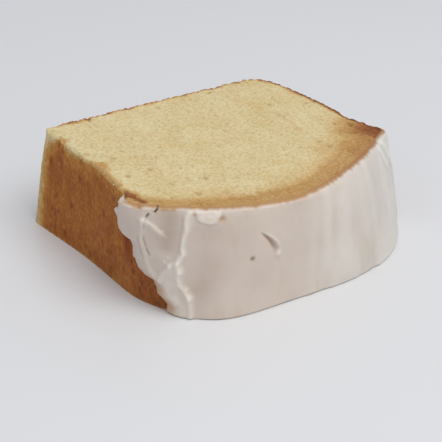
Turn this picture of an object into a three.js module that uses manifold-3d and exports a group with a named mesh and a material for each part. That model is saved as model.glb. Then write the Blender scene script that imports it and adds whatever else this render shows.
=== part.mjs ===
import * as THREE from 'three';
import Module from 'manifold-3d';

// A thick slice of iced pound cake, cut across the loaf and lying on one cut face.
// Millimetres, +Z up. X runs across the loaf, the iced dome faces -Y and the
// loaf's flat bottom faces +Y. The other cut face is up.

const THICKNESS = 32;          // from cut face to cut face
const LEVELS = 12;             // steps through the thickness

// The outline of the upper cut face. The shoulders are the top corners of the
// loaf, the base corners its bottom corners, and the crown the dome's highest place.
// Each tin side pulls in by lip below its shoulder, over reach, and by waist halfway.
const UPPER = {
  leftShoulderX: -49, leftShoulderY: -1.4,
  rightShoulderX: 49.8, rightShoulderY: 1.2,
  leftBaseX: -46.9, leftBaseY: 54.3,
  rightBaseX: 46, rightBaseY: 57.6,
  leftCorner: 2.5, rightCorner: 9.6,
  crownX: -4, crownY: -21.9,
  leftFullness: 2.1, rightFullness: 1.5,
  leftLip: 2, leftReach: 4, leftWaist: 1, leftBlend: 2,
  rightLip: 3.2, rightReach: 9.5, rightWaist: -1.6, rightBlend: 2,
};

// The outline of the lower cut face: the loaf swells toward this end.
const LOWER = {
  leftShoulderX: -46.2, leftShoulderY: -1,
  rightShoulderX: 54.5, rightShoulderY: -2.4,
  leftBaseX: -49.1, leftBaseY: 54.3,
  rightBaseX: 48.9, rightBaseY: 57,
  leftCorner: 1.5, rightCorner: 9.6,
  crownX: 1.1, crownY: -25.4,
  leftFullness: 6.3, rightFullness: 3.5,
  leftLip: 0.4, leftReach: 4, leftWaist: 1, leftBlend: 5,
  rightLip: 1.5, rightReach: 9.5, rightWaist: 0, rightBlend: 3,
};

// The set icing over the dome.
const ICING_GAP = 0.3;         // seam between the icing and the cake
const ICING_THICKNESS = 1.8;
const ICING_EDGE = 0.7;        // thickness at its two thin edges
const ICING_BACKING = 0.6;     // taken below the skin before the seat is cut out of it
const ICING_TAPER = 6;         // how far in the edges thin out
const ICING_COLUMNS = 66;
const ICING_LEFT_TOP = -2;     // where it starts, along the skin from the left shoulder
const ICING_LEFT_BOTTOM = 14;
const ICING_TONGUE = 5;      // a tongue that ran down the left tin side
const ICING_TONGUE_HEIGHT = 27.5;
const ICING_RIGHT_OVERLAP = 3; // how far it wraps past the right shoulder
const FOLD_HEIGHT = 0.5;       // the upright fold near the left shoulder
const FOLD_AT = 17.5;
const FLUTE_HEIGHT = 0.25;     // soft upright flutes on the right half
const FLUTE_SPACING = 11;

function mix(a, b, t) {
  return a + (b - a) * t;
}

function sizesAt(h) {
  const sizes = {};
  for (const name of Object.keys(UPPER)) {
    sizes[name] = mix(LOWER[name], UPPER[name], h);
  }
  return sizes;
}

// One tin side, from the shoulder to the base corner.
function tinSide(sizes, name) {
  const outward = name === 'left' ? -1 : 1;
  const shoulder = new THREE.Vector2(sizes[`${name}ShoulderX`], sizes[`${name}ShoulderY`]);
  const base = new THREE.Vector2(sizes[`${name}BaseX`], sizes[`${name}BaseY`]);
  const steps = 22;
  const points = [];
  for (let i = 0; i <= steps; i += 1) {
    const u = i / steps;
    const point = shoulder.clone().lerp(base, u);
    const down = u * shoulder.distanceTo(base);
    const lip = sizes[`${name}Lip`] * (1 - Math.exp(-((down / sizes[`${name}Reach`]) ** 3)));
    const waist = sizes[`${name}Waist`] * Math.sin(Math.PI * u) ** 2;
    point.x -= outward * (lip + waist);
    points.push(point);
  }
  return points;
}

function roundCorner(before, corner, after, radius, steps) {
  const a = before.clone().sub(corner).normalize();
  const b = after.clone().sub(corner).normalize();
  const half = Math.acos(a.dot(b)) / 2;
  const reach = radius / Math.tan(half);
  const start = corner.clone().addScaledVector(a, reach);
  const end = corner.clone().addScaledVector(b, reach);
  const middle = a.clone().add(b).normalize();
  const centre = corner.clone().addScaledVector(middle, radius / Math.sin(half));
  const from = Math.atan2(start.y - centre.y, start.x - centre.x);
  let turn = Math.atan2(end.y - centre.y, end.x - centre.x) - from;
  turn = THREE.MathUtils.euclideanModulo(turn + Math.PI, 2 * Math.PI) - Math.PI;
  const points = [];
  for (let i = 0; i <= steps; i += 1) {
    const angle = from + turn * i / steps;
    points.push(new THREE.Vector2(
      centre.x + radius * Math.cos(angle),
      centre.y + radius * Math.sin(angle),
    ));
  }
  return points;
}

// The dome from the left shoulder over the crown to the right shoulder.
function dome(sizes) {
  const steps = 26;
  const points = [];
  for (let i = 0; i <= steps; i += 1) {
    const u = (i / steps) ** 1.4;
    points.push(new THREE.Vector2(
      mix(sizes.leftShoulderX, sizes.crownX, u),
      mix(sizes.crownY, sizes.leftShoulderY, (1 - u) ** sizes.leftFullness),
    ));
  }
  for (let i = steps - 1; i >= 0; i -= 1) {
    const u = (i / steps) ** 1.4;
    points.push(new THREE.Vector2(
      mix(sizes.rightShoulderX, sizes.crownX, u),
      mix(sizes.crownY, sizes.rightShoulderY, (1 - u) ** sizes.rightFullness),
    ));
  }
  return points;
}

// Cuts the start of a run of points back by a distance.
function cutBack(points, distance) {
  const line = new THREE.Path(points);
  const kept = [line.getPointAt(distance / line.getLength())];
  let run = 0;
  for (let i = 1; i < points.length; i += 1) {
    run += points[i].distanceTo(points[i - 1]);
    if (run > distance + 0.2) {
      kept.push(points[i]);
    }
  }
  return kept;
}

function shoulderBlend(start, shoulder, end) {
  const bend = new THREE.QuadraticBezierCurve(start, shoulder, end);
  return bend.getPoints(8).slice(1, -1);
}

// The pieces of one section, each run counterclockwise seen from above.
function sectionAt(h) {
  const sizes = sizesAt(h);
  const leftSide = tinSide(sizes, 'left');
  const rightSide = tinSide(sizes, 'right');
  const leftCorner = leftSide[leftSide.length - 1];
  const rightCorner = rightSide[rightSide.length - 1];
  const rightArc = roundCorner(
    rightSide[rightSide.length - 2], rightCorner, leftCorner, sizes.rightCorner, 6,
  );
  const leftArc = roundCorner(
    rightCorner, leftCorner, leftSide[leftSide.length - 2], sizes.leftCorner, 6,
  );
  const top = dome(sizes);
  const leftShoulder = top[0];
  const rightShoulder = top[top.length - 1];
  const shortTop = cutBack(cutBack(top, sizes.leftBlend).reverse(), sizes.rightBlend).reverse();
  const down = cutBack(rightSide, sizes.rightBlend).filter((p) => p.y < rightArc[0].y - 0.8);
  const up = cutBack(leftSide, sizes.leftBlend)
    .filter((p) => p.y < leftArc[leftArc.length - 1].y - 0.8).reverse();
  const rightBend = shoulderBlend(shortTop[shortTop.length - 1], rightShoulder, down[0]);
  const leftBend = shoulderBlend(up[up.length - 1], leftShoulder, shortTop[0]);
  return { shortTop, rightBend, down, rightArc, leftArc, up, leftBend };
}

// Points evenly spaced along a run, ends included.
function spaced(points, count) {
  return new THREE.Path(points).getSpacedPoints(count);
}

function cakeRing(h) {
  const s = sectionAt(h);
  const base = spaced([s.rightArc[s.rightArc.length - 1], s.leftArc[0]], 12).slice(1, -1);
  return [
    ...spaced(s.shortTop, 60),
    ...s.rightBend,
    ...spaced(s.down, 16),
    ...s.rightArc,
    ...base,
    ...s.leftArc,
    ...spaced(s.up, 16),
    ...s.leftBend,
  ];
}

// The run of skin that icing can cover, with the distance from the left shoulder.
function skinAt(h) {
  const s = sectionAt(h);
  const points = [...s.up, ...s.leftBend, ...s.shortTop, ...s.rightBend, ...s.down];
  const path = new THREE.Path(points);
  const leftHalf = s.leftBend.slice(0, s.leftBend.length / 2 + 1);
  const rightHalf = s.rightBend.slice(s.rightBend.length / 2);
  const zero = new THREE.Path([...s.up, ...leftHalf]).getLength();
  const after = new THREE.Path([...rightHalf, ...s.down]).getLength();
  const length = path.getLength();
  const samples = path.getSpacedPoints(900);
  return { samples, length, zero, domeLength: length - zero - after };
}

function skinPoint(skin, distance, offset) {
  const at = (skin.zero + distance) / skin.length * 900;
  const i = THREE.MathUtils.clamp(Math.floor(at), 0, 899);
  const p = skin.samples[i].clone().lerp(skin.samples[i + 1], at - i);
  const before = skin.samples[Math.max(0, i - 5)];
  const after = skin.samples[Math.min(900, i + 6)];
  const tangent = after.clone().sub(before).normalize();
  return new THREE.Vector2(p.x + tangent.y * offset, p.y - tangent.x * offset);
}

function bump(x, centre, width) {
  return Math.exp(-(((x - centre) / width) ** 2));
}

// Where the icing starts at a height, measured from the left shoulder.
function icingStart(z) {
  const fall = 1 - z / THICKNESS;
  const edge = mix(ICING_LEFT_TOP, ICING_LEFT_BOTTOM, fall ** 1.4);
  return edge - ICING_TONGUE * bump(z, ICING_TONGUE_HEIGHT, 3);
}

function icingThickness(distance, start, end) {
  const inward = Math.min(distance - start, end - distance);
  const full = Math.min(1, Math.max(0, inward / ICING_TAPER));
  let thick = mix(ICING_EDGE, ICING_THICKNESS, Math.sqrt(full));
  thick += FOLD_HEIGHT * bump(distance, FOLD_AT, 2.5);
  if (distance > 50) {
    const ramp = Math.min(1, (distance - 50) / 15) * full;
    thick += FLUTE_HEIGHT * ramp * Math.sin(2 * Math.PI * distance / FLUTE_SPACING);
  }
  return thick;
}

// Joins a stack of closed rings into one closed solid with flat ends.
function stackRings(rings) {
  const count = rings[0].length;
  const positions = [];
  const index = [];
  for (const ring of rings) {
    for (const p of ring) {
      positions.push(p.x, p.y, p.z);
    }
  }
  for (let k = 0; k < rings.length - 1; k += 1) {
    for (let i = 0; i < count; i += 1) {
      const j = (i + 1) % count;
      const a = k * count + i;
      const b = k * count + j;
      index.push(a, b, b + count);
      index.push(a, b + count, a + count);
    }
  }
  const flat = (ring) => ring.map((p) => new THREE.Vector2(p.x, p.y));
  const last = (rings.length - 1) * count;
  for (const face of THREE.ShapeUtils.triangulateShape(flat(rings[0]), [])) {
    index.push(face[0], face[2], face[1]);
  }
  for (const face of THREE.ShapeUtils.triangulateShape(flat(rings[rings.length - 1]), [])) {
    index.push(last + face[0], last + face[1], last + face[2]);
  }
  const geometry = new THREE.BufferGeometry();
  geometry.setAttribute('position', new THREE.Float32BufferAttribute(positions, 3));
  geometry.setIndex(index);
  geometry.computeVertexNormals();
  return geometry;
}

function raise(points, z) {
  return points.map((p) => new THREE.Vector3(p.x, p.y, z));
}

// Moves each point of a counterclockwise ring outward.
function grow(ring, distance) {
  const count = ring.length;
  return ring.map((p, i) => {
    const before = ring[(i + count - 1) % count];
    const after = ring[(i + 1) % count];
    const tangent = after.clone().sub(before).normalize();
    return new THREE.Vector2(p.x + tangent.y * distance, p.y - tangent.x * distance);
  });
}

function cakeGeometry() {
  const rings = [];
  for (let k = 0; k <= LEVELS; k += 1) {
    const h = k / LEVELS;
    rings.push(raise(cakeRing(h), h * THICKNESS));
  }
  return stackRings(rings);
}

// The room that the cake and the seam take up under the icing.
function seatGeometry() {
  const rings = [raise(grow(cakeRing(0), ICING_GAP), -1)];
  for (let k = 0; k <= LEVELS; k += 1) {
    const h = k / LEVELS;
    rings.push(raise(grow(cakeRing(h), ICING_GAP), h * THICKNESS));
  }
  rings.push(raise(grow(cakeRing(1), ICING_GAP), THICKNESS + 1));
  return stackRings(rings);
}

function icingGeometry() {
  const rings = [];
  for (let k = 0; k <= LEVELS; k += 1) {
    const z = k / LEVELS * THICKNESS;
    const skin = skinAt(k / LEVELS);
    const start = icingStart(z);
    const end = skin.domeLength + ICING_RIGHT_OVERLAP;
    const outer = [];
    const inner = [];
    for (let i = 0; i <= ICING_COLUMNS; i += 1) {
      const distance = mix(start, end, i / ICING_COLUMNS);
      const thick = icingThickness(distance, start, end);
      outer.push(skinPoint(skin, distance, ICING_GAP + thick));
      inner.push(skinPoint(skin, distance, -ICING_BACKING));
    }
    rings.push(raise([...outer, ...inner.reverse()], z));
  }
  return stackRings(rings);
}

const wasm = await Module();
wasm.setup();

function solidOf(geometry) {
  return new wasm.Manifold(new wasm.Mesh({
    numProp: 3,
    vertProperties: geometry.attributes.position.array,
    triVerts: new Uint32Array(geometry.index.array),
  }));
}

function geometryOf(solid) {
  const mesh = solid.getMesh();
  const geometry = new THREE.BufferGeometry();
  geometry.setAttribute('position', new THREE.Float32BufferAttribute(mesh.vertProperties, 3));
  geometry.setIndex(new THREE.Uint32BufferAttribute(mesh.triVerts, 1));
  geometry.computeVertexNormals();
  return geometry;
}

const crumb = new THREE.MeshStandardMaterial({ color: '#d2c295', roughness: 0.85, metalness: 0 });
const sugar = new THREE.MeshStandardMaterial({ color: '#d3cac2', roughness: 0.45, metalness: 0 });

const group = new THREE.Group();

const cakeSlice = new THREE.Mesh(cakeGeometry(), crumb);
cakeSlice.name = 'cake_slice';
group.add(cakeSlice);

const shell = solidOf(icingGeometry()).subtract(solidOf(seatGeometry()));
const icing = new THREE.Mesh(geometryOf(shell), sugar);
icing.name = 'icing';
group.add(icing);

// The slice stands centred over the origin on its lower cut face.
const box = new THREE.Box3().setFromObject(group);
const middle = box.getCenter(new THREE.Vector3());
for (const piece of group.children) {
  piece.position.set(-middle.x, -middle.y, 0);
}

export default group;
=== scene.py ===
# %% [markdown]
# # A slice of iced pound cake
# A pound cake is baked in a loaf tin, iced while it is still a little warm, and cut
# across. This slice lies on one cut face. It has three kinds of surface: the open
# crumb of the cut, the browned skin that touched the tin, and the set icing over the
# domed top. Each is made here as real shape first, then given its finish.

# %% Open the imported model
import math
import bmesh
import bpy
import numpy as np
from mathutils import Matrix, Vector


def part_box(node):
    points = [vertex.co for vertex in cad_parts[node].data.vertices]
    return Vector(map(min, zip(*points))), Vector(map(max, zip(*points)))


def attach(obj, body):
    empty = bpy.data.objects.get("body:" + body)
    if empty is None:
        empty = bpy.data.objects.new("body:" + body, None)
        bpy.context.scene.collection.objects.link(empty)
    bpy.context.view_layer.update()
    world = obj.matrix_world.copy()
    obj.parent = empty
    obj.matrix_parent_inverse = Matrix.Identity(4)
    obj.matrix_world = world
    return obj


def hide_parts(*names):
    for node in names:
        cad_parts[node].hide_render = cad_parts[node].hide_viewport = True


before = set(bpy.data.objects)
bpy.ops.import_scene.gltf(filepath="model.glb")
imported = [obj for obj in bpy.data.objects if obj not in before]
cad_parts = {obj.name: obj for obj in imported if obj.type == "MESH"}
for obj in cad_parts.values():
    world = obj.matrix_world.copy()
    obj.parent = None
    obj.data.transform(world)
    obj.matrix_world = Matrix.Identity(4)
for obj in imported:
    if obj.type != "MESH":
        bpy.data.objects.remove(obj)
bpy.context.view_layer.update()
MM = 0.001
cake_low, cake_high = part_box("cake_slice")
THICKNESS = (cake_high.z - cake_low.z) / MM
print("slice is", round(THICKNESS, 2), "mm thick")

# %% [markdown]
# ## The two cut faces
# Every point of the slice is found from two outlines, one for each cut face: a loaf
# section with two tin sides, a flat base and a domed top. In between, the sizes are
# mixed, so the loaf swells a little from one cut to the other. Working from named
# sizes keeps the cake and its icing in step, because both ask for the same section.

# %% The outline's sizes, in millimetres
UPPER = dict(
    left_shoulder_x=-49, left_shoulder_y=-1.4, right_shoulder_x=49.8, right_shoulder_y=1.2,
    left_base_x=-46.9, left_base_y=54.3, right_base_x=46, right_base_y=57.6,
    left_corner=2.5, right_corner=9.6, crown_x=-4, crown_y=-21.9,
    left_fullness=2.1, right_fullness=1.5,
    left_lip=2, left_reach=4, left_waist=1, left_blend=2,
    right_lip=3.2, right_reach=9.5, right_waist=-1.6, right_blend=2,
)
LOWER = dict(
    left_shoulder_x=-46.2, left_shoulder_y=-1, right_shoulder_x=54.5, right_shoulder_y=-2.4,
    left_base_x=-49.1, left_base_y=54.3, right_base_x=48.9, right_base_y=57,
    left_corner=1.5, right_corner=9.6, crown_x=1.1, crown_y=-25.4,
    left_fullness=6.3, right_fullness=3.5,
    left_lip=0.4, left_reach=4, left_waist=1, left_blend=5,
    right_lip=1.5, right_reach=9.5, right_waist=0, right_blend=3,
)


def mix(a, b, t):
    return a + (b - a) * t


def lengths(points):
    steps = np.hypot(*np.diff(points, axis=0).T)
    return np.concatenate([[0.0], np.cumsum(steps)])


def point_at(points, distance):
    run = lengths(points)
    x = np.interp(distance, run, points[:, 0])
    y = np.interp(distance, run, points[:, 1])
    return np.stack([x, y], axis=-1)


def trimmed(points, start, end):
    """The run of points without its first and last stretch."""
    total = lengths(points)[-1]
    return point_at(points, np.linspace(start, total - end, 400))


# %% The tin sides, the corners and the dome
def shoulder(sizes, name):
    return np.array([sizes[name + "_shoulder_x"], sizes[name + "_shoulder_y"]])


def tin_side(sizes, name, side):
    start = shoulder(sizes, name)
    base = np.array([sizes[name + "_base_x"], sizes[name + "_base_y"]])
    u = np.linspace(0, 1, 200)[:, None]
    points = mix(start, base, u)
    down = u[:, 0] * np.hypot(*(base - start))
    lip = sizes[name + "_lip"] * (1 - np.exp(-((down / sizes[name + "_reach"]) ** 3)))
    points[:, 0] -= side * (lip + sizes[name + "_waist"] * np.sin(math.pi * u[:, 0]) ** 2)
    return points


def round_corner(before, corner, after, radius):
    a = (before - corner) / np.hypot(*(before - corner))
    b = (after - corner) / np.hypot(*(after - corner))
    half = math.acos(a @ b) / 2
    centre = corner + (a + b) / np.hypot(*(a + b)) * radius / math.sin(half)
    start = corner + a * radius / math.tan(half) - centre
    end = corner + b * radius / math.tan(half) - centre
    first = math.atan2(start[1], start[0])
    turn = (math.atan2(end[1], end[0]) - first + math.pi) % (2 * math.pi) - math.pi
    angle = first + turn * np.linspace(0, 1, 60)
    return centre + radius * np.stack([np.cos(angle), np.sin(angle)], axis=1)


def dome(sizes):
    u = np.linspace(0, 1, 300) ** 1.4
    halves = []
    for name in ("left", "right"):
        x = mix(sizes[name + "_shoulder_x"], sizes["crown_x"], u)
        fall = (1 - u) ** sizes[name + "_fullness"]
        y = mix(sizes["crown_y"], sizes[name + "_shoulder_y"], fall)
        halves.append(np.stack([x, y], axis=1))
    return np.concatenate([halves[0], halves[1][::-1][1:]])


def bend(start, corner, end):
    t = np.linspace(0, 1, 40)[:, None]
    return (1 - t) ** 2 * start + 2 * t * (1 - t) * corner + t ** 2 * end


def section(h):
    """The outline at a height from 0, the lower cut, to 1, the upper cut."""
    sizes = {name: mix(LOWER[name], UPPER[name], h) for name in UPPER}
    left = tin_side(sizes, "left", -1)
    right = tin_side(sizes, "right", 1)
    left_arc = round_corner(right[-1], left[-1], left[-8], sizes["left_corner"])
    right_arc = round_corner(right[-8], right[-1], left[-1], sizes["right_corner"])
    top = trimmed(dome(sizes), sizes["left_blend"], sizes["right_blend"])
    left = trimmed(left[left[:, 1] < left_arc[-1, 1]], sizes["left_blend"], 0)
    right = trimmed(right[right[:, 1] < right_arc[0, 1]], sizes["right_blend"], 0)
    left_bend = bend(left[0], shoulder(sizes, "left"), top[0])
    right_bend = bend(top[-1], shoulder(sizes, "right"), right[0])
    return dict(
        top=np.concatenate([left_bend[20:], top[1:], right_bend[1:21]]),
        right=np.concatenate([right_bend[20:], right[1:], right_arc[:30]]),
        base=np.concatenate([right_arc[29:], left_arc[:31]]),
        left=np.concatenate([left_arc[30:], left[::-1], left_bend[1:21]]),
    )


upper_outline = np.concatenate(list(section(1).values()))
lower_outline = np.concatenate(list(section(0).values()))
both = np.concatenate([upper_outline, lower_outline])
cake_middle = (cake_low + cake_high) / 2 / MM
SHIFT = np.array([cake_middle.x, cake_middle.y]) - (both.min(0) + both.max(0)) / 2
print("section is", (both.max(0) - both.min(0)).round(1), "mm, moved by", SHIFT.round(2))

# %% [markdown]
# ## Camera
# The slice is seen from a little above, past its iced dome and its near tin side,
# with a long lens held slightly tilted. The camera is made before the pieces, so
# that every look at the work is through it.

# %% Make the camera
CAMERA_PLACE = np.array([-223.0, -275.2])
CAMERA_HEIGHT = 200.5
CAMERA_TURN = math.radians(37.18)
CAMERA_DOWN = math.radians(28.10)
CAMERA_TILT = math.radians(3.55)
LENS, SENSOR_WIDTH = 105.9, 36

camera_data = bpy.data.cameras.new("camera")
camera_data.lens = LENS
camera_data.sensor_width = SENSOR_WIDTH
camera = bpy.data.objects.new("camera", camera_data)
bpy.context.scene.collection.objects.link(camera)
place = (CAMERA_PLACE + SHIFT) * MM
stand = Matrix.Translation((place[0], place[1], CAMERA_HEIGHT * MM))
turn = Matrix.Rotation(-CAMERA_TURN, 4, "Z") @ Matrix.Rotation(math.pi / 2 - CAMERA_DOWN, 4, "X")
camera.matrix_world = stand @ turn @ Matrix.Rotation(CAMERA_TILT, 4, "Z")
bpy.context.scene.camera = camera
print("camera at", [round(c, 3) for c in camera.location])

# %% [markdown]
# ## Unevenness
# Nothing on a cake is smooth or regular. Two helpers give all its unevenness: a soft
# noise, like gentle hills of one size, and a pitted one, like bubbles of one size.
# Both work on all of a mesh's points at once, with sizes in millimetres. Each takes a
# seed, a whole number that picks the pattern. The seeds are fixed, so that the same
# slice comes out each time.


# %% Soft noise and bubbles
def lattice_value(cells, seed):
    """A fixed random number from 0 to 1 for each whole-numbered cell."""
    mixed = np.full(cells.shape[:-1], seed * 7919 + 12345, dtype=np.uint64)
    for axis in range(cells.shape[-1]):
        whole = cells[..., axis].astype(np.int64).astype(np.uint64)
        mixed = mixed * np.uint64(6364136223846793005) + whole
        mixed = (mixed ^ (mixed >> np.uint64(31))) * np.uint64(0x9E3779B97F4A7C15)
    mixed = mixed ^ (mixed >> np.uint64(29))
    return (mixed % np.uint64(1 << 24)).astype(float) / (1 << 24)


def hills(points, size, seed):
    """Soft noise from -1 to 1, with hills about one size across."""
    scaled = points / size
    low = np.floor(scaled)
    part = scaled - low
    smooth = part * part * (3 - 2 * part)
    total = np.zeros(len(points))
    dimensions = points.shape[1]
    for corner in range(2 ** dimensions):
        step = np.array([(corner >> axis) & 1 for axis in range(dimensions)])
        weight = np.prod(np.where(step, smooth, 1 - smooth), axis=1)
        total += weight * lattice_value(low + step, seed)
    return total * 2 - 1


def rough(points, size, seed, layers=3):
    """Hills with smaller hills on them."""
    total = np.zeros(len(points))
    for layer in range(layers):
        total += hills(points, size / 2 ** layer, seed + layer) / 2 ** layer
    return total / 1.6


LEAST_RADIUS, MOST_RADIUS = 0.25, 0.62    # of a bubble, as shares of its cell


def bubbles(points, size, share, seed):
    """How deep each point lies in a round bubble, from 0 to 1. Only a share of cells has one."""
    scaled = points / size
    home = np.floor(scaled)
    deep = np.zeros(len(points))
    dimensions = points.shape[1]
    for neighbour in range(3 ** dimensions):
        step = np.array([neighbour // 3 ** axis % 3 - 1 for axis in range(dimensions)])
        cell = home + step
        offsets = [lattice_value(cell, seed + 1 + axis) for axis in range(dimensions)]
        spot = cell + np.stack(offsets, axis=1)
        radius = mix(LEAST_RADIUS, MOST_RADIUS, lattice_value(cell, seed + 11) ** 2)
        there = lattice_value(cell, seed + 12) < share
        away = np.sqrt(((scaled - spot) ** 2).sum(axis=1)) / radius
        bowl = np.clip(1 - away ** 2, 0, 1) * radius / MOST_RADIUS
        deep = np.maximum(deep, np.where(there, bowl, 0))
    return deep


def bump(x, centre, width):
    """A soft rise to 1 at the centre."""
    return np.exp(-(((x - centre) / width) ** 2))


def near(gap, width):
    """1 where a gap is nothing, falling softly to 0 over about one width."""
    return bump(gap, 0, width)


def step_up(x, low, high):
    """A soft step from 0 below low to 1 above high."""
    t = np.clip((x - low) / (high - low), 0, 1)
    return t * t * (3 - 2 * t)


# %% [markdown]
# ## A block to shape
# Both pieces start as a plain block, cut into a fine net along each of its three
# directions. The cake's block has a face for each real face of the slice: two cut
# faces, two tin sides, the base and the dome. Wrapped onto the section, it gives
# crisp cut edges where the knife went and nearly even squares everywhere else.


# %% Make a finely cut block
MOST_PARTS = 100    # one subdivide call makes at most this many parts of an edge
HAIR = 0.0001       # a distance in the block, whose sides are 1, that counts as nothing


def cut_edges(piece, axis, parts):
    bpy.ops.mesh.select_all(action="DESELECT")
    net = bmesh.from_edit_mesh(piece.data)
    for edge in net.edges:
        along = edge.verts[1].co - edge.verts[0].co
        if abs(along[axis]) > 1e-6:
            edge.select_set(True)
    bmesh.update_edit_mesh(piece.data)
    bpy.ops.mesh.subdivide(number_cuts=parts - 1)


def cut_block(name, parts_each_way):
    bpy.ops.object.select_all(action="DESELECT")
    bpy.ops.mesh.primitive_cube_add(size=1, location=(0.5, 0.5, 0.5))
    piece = bpy.context.active_object
    piece.name = name
    piece.data.name = name
    bpy.ops.object.transform_apply(location=True, rotation=False, scale=False)
    bpy.ops.object.mode_set(mode="EDIT")
    bpy.ops.mesh.select_mode(type="EDGE")
    for axis, parts in enumerate(parts_each_way):
        first = math.ceil(parts / MOST_PARTS)
        if first > 1:
            cut_edges(piece, axis, first)
        cut_edges(piece, axis, parts // first)
    bpy.ops.object.mode_set(mode="OBJECT")
    return piece


def coarsen_underside(piece, halvings):
    """Opens up the net inside the block's lowest face, which stays flat and out of sight."""
    bpy.ops.object.mode_set(mode="EDIT")
    bpy.ops.mesh.select_mode(type="VERT")
    bpy.ops.mesh.select_all(action="DESELECT")
    net = bmesh.from_edit_mesh(piece.data)
    for point in net.verts:
        x, y, z = point.co
        point.select_set(z < HAIR and HAIR < x < 1 - HAIR and HAIR < y < 1 - HAIR)
    bmesh.update_edit_mesh(piece.data)
    bpy.ops.mesh.unsubdivide(iterations=halvings)
    bpy.ops.object.mode_set(mode="OBJECT")


def of_points(piece, what):
    flat = np.zeros(len(piece.data.vertices) * 3)
    piece.data.vertices.foreach_get(what, flat)
    return flat.reshape(-1, 3)


def places(piece):
    return of_points(piece, "co")


def set_places(piece, points):
    piece.data.vertices.foreach_set("co", points.ravel())
    piece.data.update()


def set_attribute(piece, name, values):
    layer = piece.data.attributes.new(name, "FLOAT", "POINT")
    layer.data.foreach_set("value", np.asarray(values, dtype=np.float32))


def finish_shape(piece, smooth_angle=50):
    bpy.ops.object.select_all(action="DESELECT")
    piece.select_set(True)
    bpy.context.view_layer.objects.active = piece
    bpy.ops.object.shade_smooth_by_angle(angle=math.radians(smooth_angle))
    print(piece.name, len(piece.data.vertices), "points")


# %% [markdown]
# ## The cake
# The block becomes the loaf section by a patch: the four sides of the block follow
# the four sides of the outline, and what lies between is blended from them.

# %% Wrap the block onto the loaf section
ACROSS, DEEP, UP = ((200, 160, 50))
cake = cut_block("pound_cake", (ACROSS, DEEP, UP))
coarsen_underside(cake, 2)
net = places(cake)
u, v, h = net.T
cake_points = np.zeros_like(net)
for level in np.unique(h.round(5)):
    at = np.abs(h - level) < 1e-4
    s = section(level)
    a, b = u[at], v[at]
    front = point_at(s["top"], a * lengths(s["top"])[-1])
    back = point_at(s["base"][::-1], a * lengths(s["base"])[-1])
    right = point_at(s["right"], b * lengths(s["right"])[-1])
    left = point_at(s["left"][::-1], b * lengths(s["left"])[-1])
    c00, c10, c01, c11 = s["top"][0], s["top"][-1], s["base"][-1], s["base"][0]
    a, b = a[:, None], b[:, None]
    flat = (1 - b) * front + b * back + (1 - a) * left + a * right
    flat -= (1 - a) * (1 - b) * c00 + a * (1 - b) * c10 + (1 - a) * b * c01 + a * b * c11
    cake_points[at, :2] = flat
    cake_points[at, 2] = level * THICKNESS

# %% [markdown]
# Three distances steer the shape and the browning: how far a point on a cut face is
# from the dome, from each tin side and from the base.


# %% Measure how far the crumb is from each side
def distance_to(points, line):
    line = point_at(line, np.linspace(0, lengths(line)[-1], max(len(line), 60)))
    nearest = np.full(len(points), 1e9)
    for start in range(0, len(line), 40):
        some = line[start:start + 40]
        gap = points[:, None, :] - some[None, :, :]
        nearest = np.minimum(nearest, np.sqrt((gap ** 2).sum(axis=2)).min(axis=1))
    return nearest


on_top = h > 1 - HAIR
on_bottom = h < HAIR
on_left = u < HAIR
on_right = u > 1 - HAIR
on_dome = v < HAIR
on_base = v > 1 - HAIR
on_side = on_left | on_right | on_dome | on_base
from_side = {}
for name in ("top", "right", "base", "left"):
    gap = np.zeros(len(net))
    for face, level in ((on_top, 1), (on_bottom, 0)):
        line = section(level)[name]
        gap[face] = distance_to(cake_points[face, :2], line[::4])
    from_side[name] = gap
nearest_side = np.minimum.reduce(list(from_side.values()))
nearest_side[on_side] = 0
set_places(cake, cake_points)
normals = of_points(cake, "normal")

# %% [markdown]
# The knife leaves a sharp edge in firm icing, but soft crumb rounds off and loses
# crumbs, most of all along the near tin side, where the browned skin has rolled up
# over the cut. The rounding is a quarter circle whose radius wanders. Then the
# crumb's bubbles are pressed in from the cut face, and the tin sides get the rough
# upright grain that a paper liner leaves.

# %% Round the cut edges and open the crumb
ROLLED_ROUND, ROLLED_MORE, ROLLED_LIMITS = 1.3, 1.1, (0.6, 3)
PLAIN_ROUND, ICED_ROUND = 0.5, 0.3
PORE_DEPTH, OPEN_PORE_DEPTH, TORN_DEPTH, WAVE_DEPTH, CHIP_DEPTH = 0.20, 0.40, 0.13, 0.30, 0.42
place_xy = cake_points[:, :2]
wander = rough(place_xy, 5.0, 3)
near_left = on_left | (from_side["left"] < 4) & on_top
rolled = ROLLED_ROUND + ROLLED_MORE * bump(place_xy[:, 1], 14, 11) + 0.6 * wander
edge_round = np.where(near_left, np.clip(rolled, *ROLLED_LIMITS), PLAIN_ROUND + 0.2 * wander)
near_dome = on_dome | (from_side["top"] < 2) & on_top
edge_round = np.where(near_dome & ~on_left, ICED_ROUND, edge_round)
side_normal = normals.copy()
side_normal[:, 2] = 0
side_length = np.linalg.norm(side_normal, axis=1)
inward = -side_normal / np.maximum(side_length, 1e-6)[:, None]
shaped = cake_points.copy()
for name in ("left", "right", "top", "base"):
    closest = on_top & ~on_side & (from_side[name] <= nearest_side + 1e-6) & (nearest_side < 4)
    line = section(1)[name]
    spots = np.where(closest)[0]
    if len(spots):
        gap = cake_points[spots, None, :2] - line[None, ::2, :]
        best = np.argmin((gap ** 2).sum(axis=2), axis=1)
        away = gap[np.arange(len(spots)), best]
        inward[spots, :2] = away / np.maximum(np.hypot(*away.T), 1e-6)[:, None]
        inward[spots, 2] = 0
from_cut = np.where(on_side, THICKNESS - cake_points[:, 2], 0)
path = np.where(on_top, nearest_side, -from_cut)
path[on_side & on_top] = 0
angle = np.radians(45 + 45 * np.clip(path / edge_round, -1, 1))
rounded = np.abs(path) < edge_round
pull = edge_round * (1 - np.cos(angle)) - np.maximum(path, 0)
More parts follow.
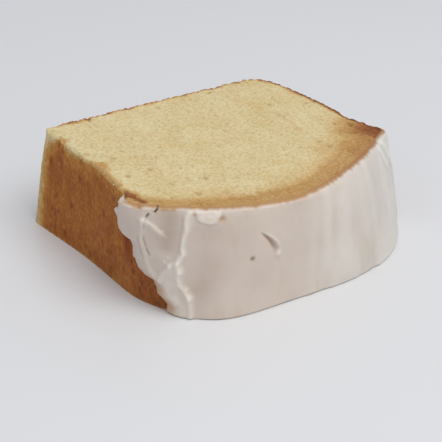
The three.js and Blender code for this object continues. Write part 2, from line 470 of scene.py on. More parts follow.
drop = edge_round * (1 - np.sin(angle)) - np.maximum(-path, 0)
shaped += inward * np.where(rounded & (on_top | on_side), pull, 0)[:, None]
shaped[:, 2] -= np.where(rounded & (on_top | on_side), drop, 0)

top_inner = on_top & (nearest_side > 0)
grain_xy = place_xy + 0.35 * np.stack([hills(place_xy, 1.7, 21), hills(place_xy, 1.7, 22)], axis=1)
fine_pores = bubbles(grain_xy, 1.0, 0.55, 31)
open_pores = bubbles(grain_xy, 2.2, 0.07, 51)
torn = rough(place_xy, 1.5, 61, 2)
crumb_depth = PORE_DEPTH * fine_pores + OPEN_PORE_DEPTH * open_pores + TORN_DEPTH * (torn + 1)
crumb_depth += WAVE_DEPTH * (rough(place_xy, 16, 71) + 1)
crumb_depth *= step_up(nearest_side, -0.3, 1.2) * step_up(from_side["left"], 0.2, 3.6)
shaped[:, 2] -= np.where(top_inner, crumb_depth, 0)

# The edges with no icing on them lost small crumbs, which leaves them chipped.
chips = np.clip(0.5 + hills(place_xy, 1.3, 81) + 0.5 * hills(place_xy, 0.7, 82), 0, 1.4)
chips *= 1 - step_up(np.where(on_top, nearest_side, from_cut), 0.0, 1.3)
shaped[:, 2] -= np.where((on_top | on_side) & ~near_dome, CHIP_DEPTH * chips, 0)

# %% Give the tin sides their rough grain
GRAIN_HEIGHT, PIT_DEPTH, SWELL_HEIGHT, EVEN_SINK, CORNER_HEIGHT = 0.20, 0.36, 0.35, 0.25, 0.5
DRAWN_UP = np.array([1, 1, 0.6])    # makes a pattern taller than it is wide
upright = shaped * DRAWN_UP
grain = rough(upright, 1.5, 81, 2)
pits = bubbles(upright, 1.7, 0.45, 91)
swell = rough(shaped, 14, 101, 2)
# The near lower corner of the loaf bulges a little.
corner_swell = CORNER_HEIGHT * bump(place_xy[:, 1], 51, 3) * bump(shaped[:, 2], 17, 11)
corner_swell *= place_xy[:, 0] < 0
relief = GRAIN_HEIGHT * grain - PIT_DEPTH * pits + SWELL_HEIGHT * swell - EVEN_SINK + corner_swell
fade = step_up(shaped[:, 2], 0.0, 1.0)
fade *= step_up(from_cut, 0.0, 1.8)
sides_only = on_side & ~on_bottom
shaped += -inward * np.where(sides_only, relief * fade, 0)[:, None]
shaped[:, :2] += SHIFT
set_places(cake, shaped * MM)

# %% [markdown]
# The browning is worked out from those distances: a skin about a millimetre deep, a
# golden band under the dome that widens to the right, and a dark corner at each end of
# it, where the dome met the hot tin. It runs from 0, pale crumb, to 1, dark brown.

# %% Work out how brown each point is
WEDGE_BROWN, CORNER_BROWN, SKIN_BROWN, BASE_BROWN, FAR_SIDES_BROWN = 0.86, 0.92, 0.78, 0.95, 0.72
WEDGE_ENDS = [-46.2, 3.4], [-44.4, -3.0]
DARK_CORNER = (50, 3)
# The band under the dome, at its left end and at its right
BAND_WIDTHS, BAND_BROWNS = (8.0, 13.5), (0.46, 0.66)
GOLDEN_WIDTHS, GOLDEN_BROWNS = (15, 20), (0.24, 0.20)
SEAM_FAR = np.array([[27, 31], [27.9, 27.5], [27.6, 24], [26.9, 19], [26, 15]])
SEAM_MIDDLE = np.array([[21.5, 43.6], [23.6, 40.5], [25, 37]])
browning = np.zeros(len(net))
dome_gap, left_gap = from_side["top"], from_side["left"]
right_gap, base_gap = from_side["right"], from_side["base"]
to_right = np.clip((place_xy[:, 0] + 10) / 60, 0, 1)
blotch = rough(place_xy, 5, 111)
band = mix(*BAND_WIDTHS, to_right ** 2) + 1.4 * blotch + 0.7 * hills(place_xy, 1.2, 113)
deepest = mix(*BAND_BROWNS, to_right ** 1.3) + 0.08 * blotch - 0.10 * (1 - step_up(dome_gap, 0.0, 1.0))
dome_brown = deepest * (1 - step_up(dome_gap, mix(0.34, 0.22, to_right) * band, band))
wedge_gap = distance_to(place_xy, np.linspace(*WEDGE_ENDS, 30)) + 0.6 * hills(place_xy, 1.6, 131)
wedge_brown = WEDGE_BROWN * (1 - step_up(wedge_gap + 0.8 * blotch, -0.2, 3.8))
corner_gap = np.hypot(place_xy[:, 0] - DARK_CORNER[0], place_xy[:, 1] - DARK_CORNER[1])
corner_brown = CORNER_BROWN * (1 - step_up(corner_gap + 2.0 * blotch, 2.0, 21.0))
edge_line = SKIN_BROWN * near(right_gap, 0.7)
edge_line += (0.40 + 0.2 * blotch) * (1 - step_up(right_gap, 0.5, 2.6 + blotch))
speckle = step_up(rough(place_xy, 2.4, 121), -0.2, 0.5)
base_line = BASE_BROWN * near(base_gap, 0.75 + 0.5 * speckle)
base_line += 0.22 * speckle * (1 - step_up(base_gap, 0.6, 2.6))
base_line *= step_up(place_xy[:, 0], -45, -39)
seam_brown = 0.16 * near(distance_to(place_xy, SEAM_FAR), 0.9)
seam_brown += 0.13 * near(distance_to(place_xy, SEAM_MIDDLE), 1.1)
warm_patch = 0.10 * bump(place_xy[:, 0] + 0.2 * place_xy[:, 1], -29, 4) * bump(place_xy[:, 1], 12, 10)
warm_patch += 0.10 * bump(place_xy[:, 0], 24, 9) * bump(place_xy[:, 1], -1, 6)
face_brown = np.maximum.reduce([dome_brown, corner_brown, wedge_brown, edge_line, base_line])
golden = mix(*GOLDEN_BROWNS, to_right) * (1 - step_up(dome_gap, 3, mix(*GOLDEN_WIDTHS, to_right)))
golden *= step_up(place_xy[:, 0], -40, -20) * (1 - step_up(face_brown, 0.2, 0.5))
face_brown += seam_brown + warm_patch + golden + 0.05 * rough(place_xy, 9, 115)

# %% [markdown]
# On the near side the line between pale crumb and browned skin wanders: it runs down
# the tin side at the lower corner and climbs onto the cut face nearer the dome. Each
# pair is a place along the side, from the dome to the base, and how far the line lies
# over the edge there: onto the face or, below zero, down the side.

# %% Brown the tin sides up to their wandering line
CRUST_LINE = np.array([
    (-4, 4.2), (-1, 3.6), (2, 3.2), (4, 2.4), (5.5, 1), (7, 1.3), (9, 2.1),
    (12, 2.4), (14, 2.5), (17, 2.8), (20, 3.3), (22, 4.2), (24, 4.4), (25, 2.4),
    (26.5, 0.6), (27.5, -0.2), (30, -0.5), (34, -1), (37, -1.1), (41, -0.9), (42, 1.9),
    (44, 2.1), (46, -1.2), (48, -2.6), (53, -3),
])
over_edge = np.where(on_top & ~on_left, left_gap, -from_cut)
line_here = np.interp(place_xy[:, 1], *CRUST_LINE.T)
line_here += 0.45 * hills(place_xy, 2.2, 141) + 0.5 * rough(cake_points, 2.4, 142, 2)
past_line = line_here - over_edge
left_brown = 0.47 * step_up(past_line, -1.5, 1.7) + 0.19 * step_up(past_line, 1.0, 9.0)
face_brown = np.maximum(face_brown, np.where(on_top & (left_gap < 8), left_brown, 0))
browning[on_top | on_bottom] = face_brown[on_top | on_bottom]
side_brown = np.where(on_left, left_brown, FAR_SIDES_BROWN)
from_corner = np.hypot(place_xy[:, 0] + 48, place_xy[:, 1] - 54.5) + 0.9 * rough(cake_points, 6, 151)
tin_corner = 1 - step_up(from_corner, 3.2, 7.4)
side_brown *= 1 - 0.62 * tin_corner
browning[on_side] = side_brown[on_side]
tone = 0.09 * rough(shaped, 7.0, 161) + 0.10 * rough(shaped * DRAWN_UP, 1.4, 162, 2)
browning = np.clip(browning + np.where(on_side, tone + 0.22 * pits, 0.03 * tone), 0, 1)
# A patch high on the near tin side, beside the icing's edge at mid height, is painted darker and redder.
dark_red_patch = bump(place_xy[:, 1], 1.5, 3.2) * bump(shaped[:, 2], 17, 6.5) * on_left
set_attribute(cake, "browning", browning)
set_attribute(cake, "dark_red_patch", dark_red_patch)
# The crumb's pressed-in bubbles are painted darker: painted shade inside them.
set_attribute(cake, "pore_shade", np.where(top_inner, np.maximum(fine_pores * 0.5, open_pores), 0))
set_attribute(cake, "crumb_side", np.where(on_top | on_bottom, 1.0, 0.0))
finish_shape(cake)

# %% [markdown]
# ## The icing
# The icing is a thin shell that follows the dome. It was poured warm, so it is thick
# in the middle, thins toward its edges, and has set with folds and upright flutes
# where it slid. On the near side it stops short of the tin side's lower corner, and
# handling has cracked it, lifted a flap and torn one place open. Distances along the
# dome are measured from the near shoulder. Each pair of the icing's edge is a height
# over the lower cut and the distance at which the icing starts there.

# %% Follow the dome
ICING_THICK = 1.9      # away from its edges, before the folds
ICING_SINK = 0.25      # how far its inner side lies inside the cake's skin
ICING_EDGE = np.array([
    (0, 13.2), (1.5, 12.9), (3, 12.4), (4.5, 11.1), (6, 9.6), (7.5, 8.9), (9.4, 7.8),
    (10.2, 5.2), (12, 2.9), (15, 1.6), (18.5, 1.3), (20.4, 0.2), (21.3, -4), (22.2, -6.2),
    (23.2, -7.6), (24.2, -8.6), (25, -9.8), (25.7, -9.4), (26.5, -7.6), (27.4, -6.9), (29.5, -5.9),
    (31.2, -5.6), (32, -4.9),
])
END_OVERLAP = 3.0      # how far it runs past the far shoulder


def icing_start(z):
    ragged = 0.30 * hills(z[:, None], 1.6, 201) + 0.34 * hills(z[:, None], 0.8, 202)
    return np.interp(z, *ICING_EDGE.T) + ragged


def skin_line(h):
    """The outline from the near tin side over the dome to the far one, and its zero."""
    s = section(h)
    line = np.concatenate([s["left"][:-1], s["top"], s["right"][1:]])
    zero = lengths(s["left"])[-1]
    return line, zero, lengths(s["top"])[-1]


def on_skin(line, distance):
    place = point_at(line, distance)
    ahead = point_at(line, distance + 0.5) - point_at(line, distance - 0.5)
    ahead /= np.hypot(*ahead.T)[:, None]
    return place, np.stack([ahead[:, 1], -ahead[:, 0]], axis=1)


# %% [markdown]
# The folds are written as strokes: each runs through a few listed points, given
# by their distance along the dome and their height over the lower cut. A stroke can be
# a rounded ridge, a groove, or a step that stands up on one side only, like the edge
# of a lifted flake.


# %% Strokes for ridges, cracks and flakes
def stroke(distance, z, points, width):
    """How near each place is to a bent line, from 0 far off to 1 on it, its gap, and its side."""
    best = np.full(len(distance), 1e9)
    side = np.zeros(len(distance))
    here = np.stack([distance, z], axis=1)
    for first, last in zip(points[:-1], points[1:]):
        first, last = np.array(first, float), np.array(last, float)
        run = last - first
        t = np.clip((here - first) @ run / (run @ run), 0, 1)
        gap = here - first - t[:, None] * run
        far = np.hypot(*gap.T)
        closer = far < best
        best = np.where(closer, far, best)
        side = np.where(closer, run[0] * gap[:, 1] - run[1] * gap[:, 0], side)
    return near(best, width), best, np.sign(side)


def dot(distance, z, middle, size, stretch=1.0):
    """How near each place is to one spot, from 0 far off to 1 at its middle."""
    return near(np.hypot((distance - middle[0]) / stretch, z - middle[1]), size)


RIDGE = [(17.9, 32.2), (16.9, 30), (16.4, 25), (16.3, 19.5), (15.4, 17)]
RIDGE_FOOT = [(15.4, 17), (16.1, 14.5), (17.0, 10.5), (19.3, 7), (20.2, 4.5), (20.6, 0.5)]
NEAR_RIDGE = [(4.7, 28.5), (4.3, 24), (4.8, 19.5), (6.1, 16), (7.8, 12.5), (9.6, 10.4)]
FLAP_EDGE = [
    (18.8, 31.5), (19.4, 29.0), (21.6, 28.1), (23.4, 27.8), (25.3, 28.2), (26.4, 30.0), (26.7, 32.0),
]
FOLD = [(4.6, 28.2), (6.1, 27.6), (8.2, 26.3), (10.4, 24.7)]
CRACK_TOP = [(8.9, 32.4), (8.5, 31.5), (8.0, 30.7)]
CRACK_DOT = [(6.3, 29.9), (5.8, 29.1)]
CRACK_MIDDLE = [(5.8, 29.1), (5.5, 28), (5.2, 26.5), (5.4, 22), (6.4, 19), (7.4, 17.5)]
CRACK_LOW = [(3.7, 22.3), (3.8, 20.9), (4.5, 18.4), (5.6, 16.0)]
NOTCH = [(3.2, 33.0), (3.5, 31.9)]
TEAR = [(38.0, 24.4), (44.3, 17.4)]
PIT = (36.2, 17.0)
HOLE = (26.6, 29.4)
HOLE_STRETCH = 1.2
BY_FLAP = (19.0, 31.2)
IN_NOTCH = (3.4, 32.2)
# Each crack is a line, its width, its depth and how dark it is painted, from 0 to 1: the brown cake seen
# through it, darkened further as painted shade.
CRACKS = (
    (CRACK_TOP, 0.30, 0.9, 0.85), (CRACK_DOT, 0.30, 0.5, 0.72), (CRACK_MIDDLE, 0.27, 0.24, 0.42),
    (CRACK_LOW, 0.27, 0.20, 0.24), (NOTCH, 0.6, 0.9, 0.25),
)
# Each lump is a place and a size.
LUMPS = [
    (44.7, 16.9, 0.9), (11.6, 16.3, 0.55), (13.2, 15.4, 0.7), (14.9, 16.4, 0.6),
    (16.0, 14.0, 0.6), (12.4, 17.6, 0.4), (19.4, 6.4, 0.9), (18.4, 9.0, 0.6),
]
# Each low ridge is a line, its width and its height.
LOW_RIDGES = [(NEAR_RIDGE, 0.9, 0.36), (RIDGE_FOOT, 0.8, 0.55)]
# Each hollow is a depth, a place along the dome, a width, and the heights it starts between.
HOLLOWS = [(0.62, 11.8, 3.3, 17.0, 20.5), (0.42, 22.5, 4.6, 28.5, 26.0)]
# The tongue's two sides, each a height and the distance along the dome there.
TONGUE_LEFT = [(0, 8), (3, 9), (9, 9.4), (13, 10.4), (16, 12.2), (17.5, 14.6)]
TONGUE_RIGHT = [(0, 20.6), (4.5, 20.2), (7, 19.3), (10.5, 17.0), (14.5, 16.1), (17.5, 15.4)]
TONGUE_TOP = 17.6
FAR_FOLDS = [
    [(97.0, 31.0), (100.5, 27.0), (104.0, 23.0)],
    [(101.0, 31.5), (106.5, 25.5), (111.5, 20.5), (115.0, 12.5), (116.0, 4.0)],
]


# Depths and heights on the icing, in millimetres, and the width of a fold's steep side
TEAR_DEPTH, LIP_HEIGHT, HOLLOW_DEPTH, HOLE_DEPTH = 0.65, 0.42, 0.7, 0.45
SHARP = 0.5


def tear_place(distance, z):
    """How far open the slit is beside each place, and how far off its middle line that place is."""
    first, last = np.array(TEAR[0]), np.array(TEAR[-1])
    run = (last - first) / np.hypot(*(last - first))
    here = np.stack([distance, z], axis=1) - first
    along_line = np.clip(here @ run / np.hypot(*(last - first)), 0, 1)
    opening = mix(0.35, 1.25, along_line)
    bent = here @ np.array([-run[1], run[0]]) - 2.2 * along_line * (1 - along_line)
    return np.sin(math.pi * along_line) ** 0.6, bent / opening


def icing_relief(distance, z):
    """The height of the icing's outer skin over its even thickness, in millimetres."""
    spot = np.stack([distance, z], axis=1)
    warped_s = distance + 0.35 * hills(spot, 2.4, 211)
    warped_z = z + 0.35 * hills(spot, 2.4, 212)
    height = 0.16 * rough(spot, 13, 221, 2) + 0.04 * rough(spot, 3.0, 231, 2)

    # Two hollows where the warm icing sank away from the fold between them.
    for depth, middle, width, low, high in HOLLOWS:
        height -= depth * bump(distance, middle, width) * step_up(z, low, high)

    ridge_width = mix(0.75, 1.25, step_up(z, 18, 31))
    _, gap, side = stroke(warped_s, z, RIDGE, 1.0)
    height += near(gap, np.where(side > 0, ridge_width, 0.7))
    for line, width, rise in LOW_RIDGES:
        height += rise * stroke(warped_s, warped_z, line, width)[0]

    # Below the ridge the icing slid down in one thick tongue.
    tongue_left = np.interp(z, *np.array(TONGUE_LEFT).T)
    tongue_right = np.interp(z, *np.array(TONGUE_RIGHT).T)
    depth_inside = np.minimum(warped_s - tongue_left, tongue_right - warped_s + 0.5)
    depth_inside = np.minimum(depth_inside, TONGUE_TOP - warped_z)
    height += (0.60 + 0.30 * rough(spot, 2.6, 243, 2)) * step_up(depth_inside, 0.0, 1.2)
    for *middle, size in LUMPS:
        height += 0.75 * size * dot(distance, z, middle, size)

    flap_low = np.interp(distance, *np.array(FLAP_EDGE).T)
    inside = (z > flap_low) & (distance > FLAP_EDGE[0][0]) & (distance < FLAP_EDGE[-1][0])
    _, gap, _ = stroke(distance, z, FLAP_EDGE, 1.0)
    height += np.where(inside, 0.55 * step_up(gap, -0.15, 0.7) + 0.14 * hills(spot, 1.3, 241), 0)

    near_fold, gap, side = stroke(warped_s, z, FOLD, 1.3)
    height += 0.65 * np.where(side > 0, near(gap, SHARP), near_fold)

    near_crack, _, side = stroke(warped_s, z, CRACK_MIDDLE, 0.9)
    height += 0.35 * np.where(side < 0, near_crack, 0.3 * near_crack)
    for line, width, depth, _ in CRACKS:
        height -= depth * stroke(distance, z, line, width)[0]

    # One slit was torn open, with a lip pushed up beside it, and two small holes broke out.
    along_tear, off_tear = tear_place(distance, z)
    height -= TEAR_DEPTH * along_tear * near(off_tear, 0.7)
    height += LIP_HEIGHT * along_tear * bump(off_tear, 1.25, 0.55)
    height -= HOLLOW_DEPTH * dot(distance, z, PIT, 0.6)
    height -= HOLE_DEPTH * dot(distance, z, HOLE, 0.8, HOLE_STRETCH)

    right_half = step_up(distance, 48, 66) * (1 - 0.6 * step_up(distance, 90, 102))
    flutes = hills(np.stack([distance + 0.12 * (z - 16), z * 0.16], axis=1), 3.0, 261)
    broad = hills(np.stack([distance, z * 0.3], axis=1), 8.0, 262)
    height += right_half * (0.32 * flutes + 0.22 * broad)
    for line in FAR_FOLDS:
        near_fold, gap, side = stroke(warped_s, z, line, 1.6)
        height += 0.6 * np.where(side > 0, near_fold, near(gap, SHARP))
    return height


# %% Shape the shell
def quarter_round(share):
    return np.sqrt(1 - (1 - np.clip(share, 0, 1)) ** 2)


ALONG, RISE, LAYERS = ((320, 100, 3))
# The net is closest where the icing is cracked and torn: each share of its columns
# reaches the place beside it, and the last share reaches the icing's far edge.
SPREAD_SHARES = [0, 0.46, 0.63, 1.0]
SPREAD_PLACES = [-10.6, 28, 46]
EDGE_ZONE = 1.6        # within this of the icing's near edge, the net follows that edge
TAPER_WIDTH = 5.0      # the icing thins out over this distance toward its edges
LIP_WIDTH = 0.7        # its edges are rounded over this distance
LEAST_THICK = 0.12
icing = cut_block("icing_coat", (ALONG, LAYERS, RISE))
net = places(icing)
along, layer, h = net.T
layer = 1 - layer
h = np.where(h > 0.5, 1 - (1 - h) ** 1.15 * 0.5 ** -0.15, h)
icing_points = np.zeros_like(net)
z_all = h * THICKNESS
distance = np.zeros(len(net))
thin_edge = np.zeros(len(net))
relief = np.zeros(len(net))
depth = np.zeros(len(net))
for level in np.unique(h.round(6)):
    at = np.abs(h - level) < 1e-5
    line, zero, dome_length = skin_line(level)
    z = z_all[at]
    start = icing_start(z[:1])[0]
    end = dome_length + END_OVERLAP + 0.5 * hills(z[:1, None], 3.0, 271)[0]
    share = along[at]
    here = np.interp(share, SPREAD_SHARES, [*SPREAD_PLACES, end])
    squeezed = start + EDGE_ZONE * (here - SPREAD_PLACES[0]) / (start + EDGE_ZONE - SPREAD_PLACES[0])
    here = np.where(here < start + EDGE_ZONE, squeezed, here)
    inward_gap = np.minimum(here - start, end - here)
    distance[at] = here
    thin_edge[at] = inward_gap
    skin_place, skin_out = on_skin(line, zero + here)
    taper = np.sqrt(np.clip(inward_gap / TAPER_WIDTH, 0, 1))
    body = mix(0.55, ICING_THICK, taper)
    height = icing_relief(here, z) * mix(0.45, 1, taper)
    relief[at] = height
    thick = np.maximum(body + height, LEAST_THICK)
    thick *= mix(0.35, 1, quarter_round(inward_gap / LIP_WIDTH))
    thick *= mix(0.78, 1, quarter_round((THICKNESS - z) / LIP_WIDTH)) * mix(0.86, 1, step_up(z, 32, 24))
    thick *= mix(0.66, 1, quarter_round(z / 0.8))
    offset = mix(-ICING_SINK, thick, layer[at])
    depth[at] = offset
    icing_points[at, :2] = skin_place + skin_out * offset[:, None]
    icing_points[at, 2] = z
spot = np.stack([distance, z_all], axis=1)
top_edge = step_up(h, 0.93, 1.0)
edge_drop = mix(0.02, 0.50, layer) * (1 + 0.6 * rough(distance[:, None], 3.0, 281))
icing_points[:, 2] -= top_edge * edge_drop
lift = (0.10 + 0.45 * rough(distance[:, None], 4.0, 291)) * step_up(distance, 38, 60)
icing_points[:, 2] += np.clip(lift, 0.02, 0.6) * step_up(h, 0.05, 0.0)
icing_points[:, :2] += SHIFT
set_places(icing, icing_points * MM)
bpy.ops.object.mode_set(mode="EDIT")
bpy.ops.mesh.select_all(action="SELECT")
bpy.ops.mesh.normals_make_consistent(inside=False)
bpy.ops.object.mode_set(mode="OBJECT")

# %% Say where the icing is thin, torn or folded, and where shade and highlight are painted on it
along_tear, off_tear = tear_place(distance, z_all)
tear = along_tear * near(off_tear, 0.8)
hole = dot(distance, z_all, HOLE, 0.9, HOLE_STRETCH)
gap_by_flap = dot(distance, z_all, BY_FLAP, 0.8)
notch = dot(distance, z_all, IN_NOTCH, 1.1, 0.75)
# The pit and the cracks are painted dark: partly the brown cake seen through them, partly painted shade
# inside them.
cracks = 0.5 * dot(distance, z_all, PIT, 0.7)
# Only the darkest cracks are unbroken.
broken = 0.7 + 0.9 * np.clip(hills(spot, 0.9, 287), -0.5, 0.5)
for line, width, _, darkness in CRACKS:
    near_crack, _, _ = stroke(distance, z_all, line, width)
    cracks = np.maximum(cracks, near_crack * darkness * np.where(darkness > 0.7, 1, broken))
# The icing's top rim is painted brown: crumb smeared by the knife next to the cake, and painted shade fading
# out over the rest of the rim.
wavy_rim = 0.30 * rough(distance[:, None], 2.2, 285) + 0.10 * hills(distance[:, None], 1.1, 286)
smear_and_rim_shade = 1 - step_up(depth / 1.6 + wavy_rim, 0.25, 1.0)
smear_and_rim_shade *= step_up(z_all, 31.2, 31.5) * step_up(distance, -3, 1)
thin_foot = 0.7 * (1 - step_up(thin_edge, 1.5, 5.2)) * step_up(z_all, 14, 7)
set_attribute(icing, "torn", np.clip(0.54 * tear, 0, 1))
set_attribute(icing, "bared", np.maximum.reduce([0.6 * hole, 0.5 * gap_by_flap, notch, thin_foot]))
set_attribute(icing, "smeared_and_rim_shaded", smear_and_rim_shade)
set_attribute(icing, "cracks", cracks)
# Raised, thicker icing is painted lighter and sunk icing darker: partly thick icing hiding the crust, partly
# a painted highlight on the folds and painted shade in the hollows.
thickness_and_painted_light = 0.47 + 0.42 * np.clip(relief, -1, 0.9) - 0.12 * step_up(thin_edge, 3.0, 0.0)
set_attribute(icing, "thickness_and_painted_light", np.clip(thickness_and_painted_light, 0, 1))
set_attribute(icing, "far_end", step_up(distance, 40, 100))
finish_shape(icing, 60)

# %% [markdown]
# ## Finishes
# A finish is a small net of nodes. One helper adds a node with its settings and its
# links, and another turns the hex colours that a screen shows into light values.


# %% Helpers for finishes
def colour(hex_code):
    channels = [int(hex_code[i:i + 2], 16) / 255 for i in (1, 3, 5)]
    linear = [c / 12.92 if c <= 0.04045 else ((c + 0.055) / 1.055) ** 2.4 for c in channels]
    return (*linear, 1.0)


def new_finish(name):
    material = bpy.data.materials.new(name)
    material.use_nodes = True
    material.node_tree.nodes.clear()
    return material, material.node_tree


def add(tree, kind, settings=None, inputs=None):
    """Adds a node. An input is a value, a hex colour or another node's output."""
    node = tree.nodes.new(kind)
    for key, value in (settings or {}).items():
        setattr(node, key, value)
    for key, value in (inputs or {}).items():
        if isinstance(value, bpy.types.NodeSocket):
            tree.links.new(value, node.inputs[key])
        else:
            node.inputs[key].default_value = colour(value) if isinstance(value, str) else value
    return node


def painted(tree, name):
    """What the piece's own points say under this name."""
    return add(tree, "ShaderNodeAttribute", {"attribute_name": name}).outputs["Fac"]


def noise(tree, where, scale, detail, roughness=0.5):
    """Noise from 0 to 1. Its scale is given per metre."""
    inputs = {"Vector": where, "Scale": scale, "Detail": detail, "Roughness": roughness}
    return add(tree, "ShaderNodeTexNoise", inputs=inputs).outputs["Fac"]


def stretched(tree, where, scale):
    return add(tree, "ShaderNodeMapping", inputs={"Vector": where, "Scale": scale}).outputs["Vector"]


def arithmetic(tree, operation, *values):
    return add(tree, "ShaderNodeMath", {"operation": operation}, dict(enumerate(values))).outputs[0]


def ramp(tree, value, stops):
    node = add(tree, "ShaderNodeValToRGB", inputs={"Fac": value})
    elements = node.color_ramp.elements
    while len(elements) < len(stops):
        elements.new(0.5)
    for element, (at, shade) in zip(elements, stops):
        element.position = at
        element.color = colour(shade)
    return node.outputs["Color"]


def blend_colours(tree, share, first, second, how="MIX"):
    settings = {"data_type": "RGBA", "blend_type": how}
    return add(tree, "ShaderNodeMix", settings, {0: share, 6: first, 7: second}).outputs[2]


def multiply(tree, first, second):
    return blend_colours(tree, 1.0, first, second, "MULTIPLY")


def small_bumps(tree, strength, height):
    inputs = {"Strength": strength, "Distance": 0.0003, "Height": height}
    return add(tree, "ShaderNodeBump", inputs=inputs).outputs["Normal"]


def cover(tree, inputs):
    surface = add(tree, "ShaderNodeBsdfPrincipled", inputs=inputs)
    add(tree, "ShaderNodeOutputMaterial", inputs={"Surface": surface.outputs["BSDF"]})


# %% [markdown]
# ### Pound cake
# Butter cake is pale yellow inside, matt and slightly see-through at its edges, so
# light softens in its bubbles. Where it touched the tin it browned: first golden,
# then the warm brown of toffee.


# %% The cake's finish
def pound_cake_finish():
    material, tree = new_finish("baked butter cake crumb and crust")
    where = add(tree, "ShaderNodeTexCoord").outputs["Object"]
    crumb_side = painted(tree, "crumb_side")
    # Bubbles in the crumb are about 1 mm across, and the grain of the skin is as fine.
    fine = noise(tree, where, 900.0, 4.0, 0.6)
    patchy = noise(tree, where, 75.0, 5.0, 0.65)
    cells = add(tree, "ShaderNodeTexVoronoi", inputs={"Vector": where, "Scale": 900.0, "Randomness": 1.0})
    streaks = noise(tree, stretched(tree, where, (1.0, 1.0, 0.75)), 1000.0, 4.0, 0.7)
    spread = arithmetic(tree, "MULTIPLY_ADD", streaks, 0.66, -0.33)
    brown = arithmetic(tree, "ADD", painted(tree, "browning"), spread)
    skin = ramp(tree, brown, [
        (0.00, "#e5d8b0"),
        (0.18, "#dcc08e"),
        (0.36, "#cc9c5c"),
        (0.52, "#c18443"),
        (0.66, "#b06d39"),
        (0.82, "#9b5e36"),
        (1.00, "#7c462b"),
    ])
    toasted = ramp(tree, brown, [
        (0.00, "#e5d8b0"),
        (0.18, "#dec699"),
        (0.36, "#d1b07a"),
        (0.52, "#c59f6d"),
        (0.66, "#b78b5d"),
        (0.82, "#a06b44"),
        (1.00, "#7e4a2e"),
    ])
    baked = blend_colours(tree, crumb_side, skin, toasted)
    tone = ramp(tree, patchy, [(0.30, "#f4ecdd"), (0.70, "#ffffff")])
    mottle = ramp(tree, fine, [(0.36, "#f5efe1"), (0.58, "#ffffff")])
    tinted = multiply(tree, baked, multiply(tree, tone, mottle))
    # The middle of each small bubble on the cut faces is painted darker: painted shade in the pore.
    holes = ramp(tree, cells.outputs["Distance"], [(0.06, "#ebe4d2"), (0.40, "#ffffff")])
    pored = blend_colours(tree, crumb_side, tinted, multiply(tree, tinted, holes))
    # The pressed-in bubbles of the cut faces are painted darker, as painted shade.
    deep = blend_colours(tree, painted(tree, "pore_shade"), "#ffffff", "#d9cfb4")
    # The patch beside the icing's edge on the near tin side is painted darker and redder.
    reddened = blend_colours(tree, painted(tree, "dark_red_patch"), "#ffffff", "#d6aba0")
    cover(tree, {
        "Base Color": multiply(tree, multiply(tree, pored, deep), reddened),
        "Roughness": 0.82,
        "IOR": 1.4,
        "Specular IOR Level": 0.25,
        "Subsurface Weight": 0.25,
        "Subsurface Radius": (1.0, 0.7, 0.4),
        "Subsurface Scale": 0.0012,
        "Normal": small_bumps(tree, 0.55, arithmetic(tree, "ADD", fine, streaks)),
    })
    return material


cake.data.materials.clear()
cake.data.materials.append(pound_cake_finish())


# %% [markdown]
# ### Icing
# Icing sugar and milk set to a satin skin that is a little see-through. It is warm
# white, greyer and pinker where it is thin over brown crust, and its edges glow.
# Its raised folds are also painted lighter, a painted highlight, and its hollows, cracks
# and rim darker, as painted shade; its far end has a painted cool tint of the light.


# %% The icing's finish
def icing_finish():
    material, tree = new_finish("set milk and sugar icing")
    where = add(tree, "ShaderNodeTexCoord").outputs["Object"]
    far_end = painted(tree, "far_end")
    drift = arithmetic(tree, "MULTIPLY_ADD", noise(tree, where, 70.0, 3.0), 0.56, -0.28)
    # Lighter where the icing stands up, partly from its thickness and partly as a painted highlight; darker
    # in hollows, partly as painted shade.
    body = ramp(tree, arithmetic(tree, "ADD", painted(tree, "thickness_and_painted_light"), drift), [
        (0.08, "#c9b6a9"),
        (0.32, "#ddd0c6"),
        (0.58, "#e8ded5"),
        (0.95, "#f4f1ea"),
    ])
    blotches = noise(tree, stretched(tree, where, (1.0, 1.0, 0.3)), 160.0, 2.0)
    yellowed = ramp(tree, blotches, [(0.60, "#ffffff"), (0.84, "#f5f3e9")])
    # The far end of the icing is painted a cooler white: a painted tint of the cool light on that side.
    cool_light_tint = blend_colours(tree, far_end, "#f4f0ec", "#f2f7f9")
    iced = multiply(tree, multiply(tree, body, yellowed), cool_light_tint)
    # The rim's brown is partly smeared crumb and partly painted shade.
    smear_and_rim_shade = blend_colours(tree, far_end, "#b98c58", "#a6733f")
    # Torn and bared places show the cake's own colour; the cracks' dark is partly the cake and partly painted
    # shade.
    for name, shade in (("torn", "#a87c62"), ("bared", "#be9564"), ("smeared_and_rim_shaded", smear_and_rim_shade), ("cracks", "#5f4030")):
        iced = blend_colours(tree, painted(tree, name), iced, shade)
    cover(tree, {
        "Base Color": iced,
        "Roughness": 0.42,
        "IOR": 1.48,
        "Subsurface Weight": 0.4,
        "Subsurface Radius": (1.0, 0.75, 0.55),
        "Subsurface Scale": 0.0016,
        "Normal": small_bumps(tree, 0.12, noise(tree, where, 500.0, 3.0)),
    })
    return material


icing.data.materials.clear()
icing.data.materials.append(icing_finish())

# %% [markdown]
# ## Loose crumbs
# A cut slice sheds crumbs. Most cling along the near edge, where the browned skin
# broke, and a few stick to the icing where it was cracked and torn.


# %% Make the crumbs
CRUMB_SPOTS = [
    (cake, (-43.9, 8.9, 31.6), 0.50), (cake, (-45.0, 10.6, 31.0), 0.34),
    (cake, (-43.4, 45.6, 31.8), 0.36), (cake, (-45.4, 39.5, 27.4), 0.24),
    (cake, (-46.5, 46.0, 31.6), 0.30), (cake, (-41.6, 24.2, 31.8), 0.30),
]
CRUMBS_ON_ICING = [(-6.0, 29.6, 0.34), (-6.6, 28.4, 0.26), (8.9, 31.0, 0.24)]
draws = np.random.default_rng(7)


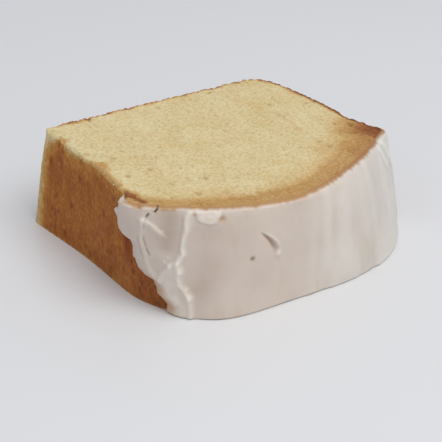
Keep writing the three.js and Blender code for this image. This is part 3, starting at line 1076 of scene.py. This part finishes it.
def surface_place(piece, place):
    _, spot, normal, _ = piece.closest_point_on_mesh(Vector(place) * MM)
    return spot / MM, normal


def make_crumb(spot, normal, size, brownest=0.34):
    bpy.ops.mesh.primitive_ico_sphere_add(subdivisions=2, radius=1, location=(0, 0, 0))
    crumb = bpy.context.active_object
    points = places(crumb)
    points *= size * (1 + 0.28 * hills(points * 1.3 + draws.uniform(0, 50, 3), 1.0, 301))[:, None]
    points *= draws.uniform(0.7, 1.25, 3)
    set_places(crumb, (points + np.array(spot) + np.array(normal) * size * 0.35) * MM)
    set_attribute(crumb, "browning", np.full(len(points), draws.uniform(0.0, brownest)))
    return crumb


bpy.ops.object.select_all(action="DESELECT")
lumps = []
for piece, (x, y, z), size in CRUMB_SPOTS:
    lumps.append(make_crumb(*surface_place(piece, (x + SHIFT[0], y + SHIFT[1], z)), size))
for s, z, size in CRUMBS_ON_ICING:
    line, zero, _ = skin_line(z / THICKNESS)
    place, out = on_skin(line, np.array([zero + s]))
    x, y = place[0] + out[0] * 2.5 + SHIFT
    lumps.append(make_crumb(*surface_place(icing, (x, y, z)), size, 0.08))
for _ in range(46):
    y = draws.uniform(2, 52)
    over = draws.uniform(-1.5, 1.0) + np.interp(y, *CRUST_LINE.T)
    edge_x = np.interp(y, section(1)["left"][::-1, 1], section(1)["left"][::-1, 0])
    aim = (edge_x + over + SHIFT[0], y + SHIFT[1], THICKNESS + min(over, 0))
    lumps.append(make_crumb(*surface_place(cake, aim), draws.uniform(0.12, 0.26)))
for lump in lumps:
    lump.select_set(True)
bpy.context.view_layer.objects.active = lumps[0]
bpy.ops.object.join()
crumbs = bpy.context.active_object
crumbs.name = "loose_crumbs"
crumbs.data.name = "loose_crumbs"
crumbs.data.materials.clear()
crumbs.data.materials.append(cake.data.materials[0])
finish_shape(crumbs)

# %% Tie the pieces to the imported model
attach(crumbs, "root")
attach(cake, "root")
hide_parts("cake_slice")
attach(icing, "root")
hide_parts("icing")

# %% [markdown]
# ## Floor and light
# A plain pale floor, a wide soft light over and behind the right shoulder, and an
# even pale sky to fill the shade.

# %% Floor and lights
bpy.ops.mesh.primitive_plane_add(size=3, location=(0, 0, 0))
floor = bpy.context.active_object
floor.name = "floor"
floor_finish, tree = new_finish("pale glazed floor")
cover(tree, {"Base Color": "#e4e5e8", "Roughness": 0.35})
floor.data.materials.append(floor_finish)


def soft_light(name, place, aim, size, power, shade):
    data = bpy.data.lights.new(name, "AREA")
    data.shape = "DISK"
    data.size = size
    data.energy = power
    data.color = colour(shade)[:3]
    light = bpy.data.objects.new(name, data)
    bpy.context.scene.collection.objects.link(light)
    light.location = place
    light.rotation_euler = (Vector(aim) - Vector(place)).to_track_quat("-Z", "Y").to_euler()


soft_light("window", (0.12, -0.42, 0.95), (0, 0, 0.02), 1.0, 6.5, "#fffaf2")
world = bpy.data.worlds.new("sky")
world.use_nodes = True
world.node_tree.nodes["Background"].inputs["Color"].default_value = colour("#e8edf4")
world.node_tree.nodes["Background"].inputs["Strength"].default_value = 0.60
bpy.context.scene.world = world
bpy.context.scene.view_settings.view_transform = "Standard"
